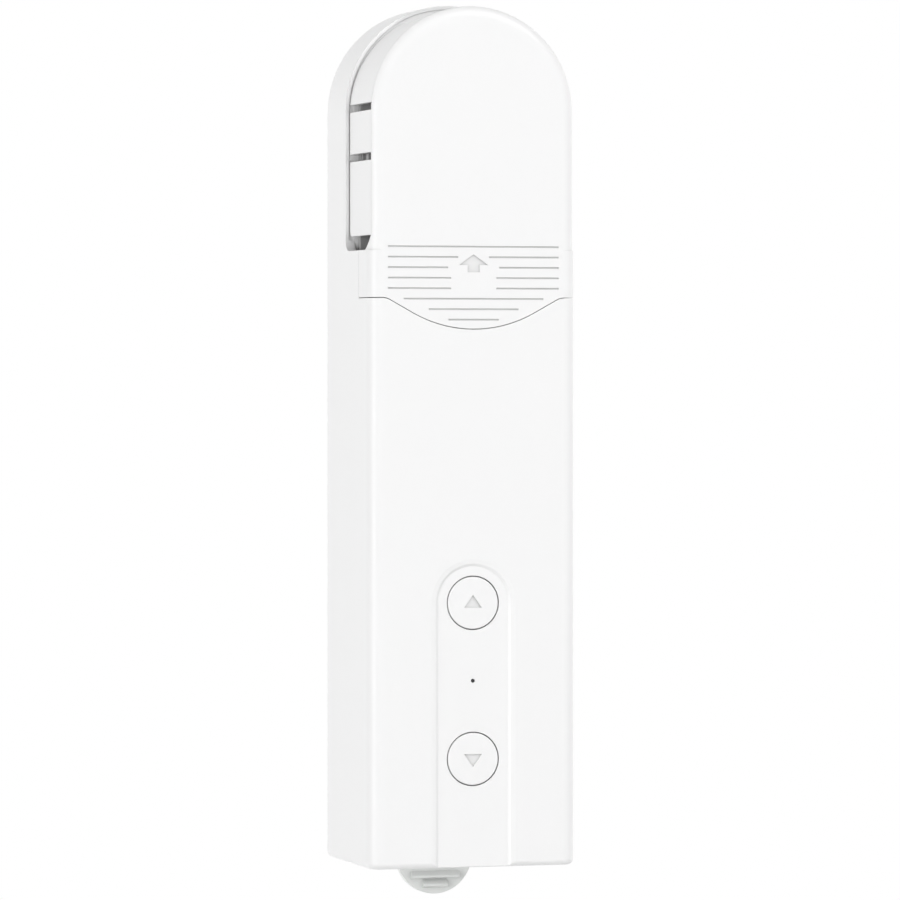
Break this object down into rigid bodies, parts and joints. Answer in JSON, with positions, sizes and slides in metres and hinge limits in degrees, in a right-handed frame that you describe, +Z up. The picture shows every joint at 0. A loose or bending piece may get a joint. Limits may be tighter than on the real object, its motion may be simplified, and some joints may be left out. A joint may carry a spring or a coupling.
{
  "type": "roller shade motor",
  "caption": "Slim wall-hung driver for a roller shade: an arched head holds the chain sprocket, a sliding cover gives access, round buttons sit in a channel in front.",
  "frame": {"origin": "middle of the wall bracket's back face, halfway between its two screw holes", "axes": "+X to the right seen from the front, +Y into the wall, +Z up"},
  "size_m": [0.042, 0.032, 0.1761],
  "materials": {
    "shell_white": "fine satin moulded plastic",
    "inner_grey": "matt moulded plastic",
    "tab_grey": "matt moulded plastic",
    "sprocket_dark": "matt wear-resistant plastic",
    "gear_cream": "smooth low-friction plastic",
    "steel": "zinc-plated steel",
    "bronze": "sintered bronze",
    "board_green": "lacquered circuit board",
    "black_plastic": "black moulded plastic",
    "cell_sleeve": "shrink sleeve",
    "connector_white": "nylon",
    "lead_red": "soft insulation"
  },
  "bodies": {
    "bracket": {"wall_bracket": "inner_grey", "tab_pin": "steel"},
    "driver": {"body_shell": "shell_white", "back_cover": "shell_white", "back_cover_screws": "steel", "chain_guide": "inner_grey", "guide_screws": "steel", "gear_frame": "inner_grey", "gearbox_lid": "inner_grey", "gearbox_screws": "steel", "gear_axles": "steel", "front_bearing": "bronze", "rear_bearing": "bronze", "motor_can": "steel", "motor_end_cap": "black_plastic", "motor_screws": "steel", "motor_leads": "lead_red", "lead_connector": "connector_white", "main_board": "board_green", "board_screws": "steel", "switch_bodies": "black_plastic", "charging_socket": "steel", "radio_module": "steel", "indicator_diode": "connector_white", "indicator_pin": "black_plastic", "battery_cells": "cell_sleeve", "battery_tray": "inner_grey", "battery_contacts": "steel"},
    "cover": {"chain_cover": "shell_white"},
    "up_button": {"up_button_cap": "shell_white", "up_switch_plunger": "black_plastic"},
    "down_button": {"down_button_cap": "shell_white", "down_switch_plunger": "black_plastic"},
    "tab": {"release_tab": "tab_grey", "tab_spring": "steel"},
    "sprocket": {"bead_sprocket": "sprocket_dark", "sprocket_shaft": "steel", "sprocket_clip": "steel", "output_gear": "gear_cream"},
    "third_gear": {"third_gear": "gear_cream"},
    "second_gear": {"second_gear": "gear_cream"},
    "first_gear": {"first_gear": "gear_cream"},
    "motor_rotor": {"motor_shaft": "steel", "motor_pinion": "bronze"}
  },
  "joints": [
    {"name": "driver_slide", "type": "slide", "parent": "bracket", "child": "driver", "axis": [0, 0, 1], "range_m": [-0.003, 0.01]},
    {"name": "tab_press", "type": "hinge", "parent": "bracket", "child": "tab", "pos_m": [0, -0.0017, -0.048], "axis": [1, 0, 0], "range_deg": [0, 2.4], "stiffness_Nm_per_rad": 0.2, "springref_deg": -1.72},
    {"name": "cover_slide", "type": "slide", "parent": "driver", "child": "cover", "axis": [0, 0, 1], "range_m": [0, 0.015]},
    {"name": "up_press", "type": "slide", "parent": "driver", "child": "up_button", "axis": [0, 1, 0], "range_m": [0, 0.0004], "stiffness_N_per_m": 1500, "springref_m": -0.0004},
    {"name": "down_press", "type": "slide", "parent": "driver", "child": "down_button", "axis": [0, 1, 0], "range_m": [0, 0.0004], "stiffness_N_per_m": 1500, "springref_m": -0.0004},
    {"name": "sprocket_spin", "type": "hinge", "parent": "driver", "child": "sprocket", "pos_m": [0, -0.0229, 0.0656], "axis": [0, -1, 0], "continuous": true},
    {"name": "third_gear_spin", "type": "hinge", "parent": "driver", "child": "third_gear", "pos_m": [-0.0055, -0.009, 0.04752], "axis": [0, -1, 0], "continuous": true},
    {"name": "second_gear_spin", "type": "hinge", "parent": "driver", "child": "second_gear", "pos_m": [0.0045, -0.009, 0.03674], "axis": [0, -1, 0], "continuous": true},
    {"name": "first_gear_spin", "type": "hinge", "parent": "driver", "child": "first_gear", "pos_m": [-0.002, -0.009, 0.02457], "axis": [0, -1, 0], "continuous": true},
    {"name": "motor_spin", "type": "hinge", "parent": "driver", "child": "motor_rotor", "pos_m": [0, -0.009, 0.01274], "axis": [0, -1, 0], "continuous": true}
  ],
  "couplings": [
    {"joint": "third_gear_spin", "follows": "sprocket_spin", "ratio": -2.5},
    {"joint": "second_gear_spin", "follows": "sprocket_spin", "ratio": 6.25},
    {"joint": "first_gear_spin", "follows": "sprocket_spin", "ratio": -17.708},
    {"joint": "motor_spin", "follows": "sprocket_spin", "ratio": 53.125}
  ]
}
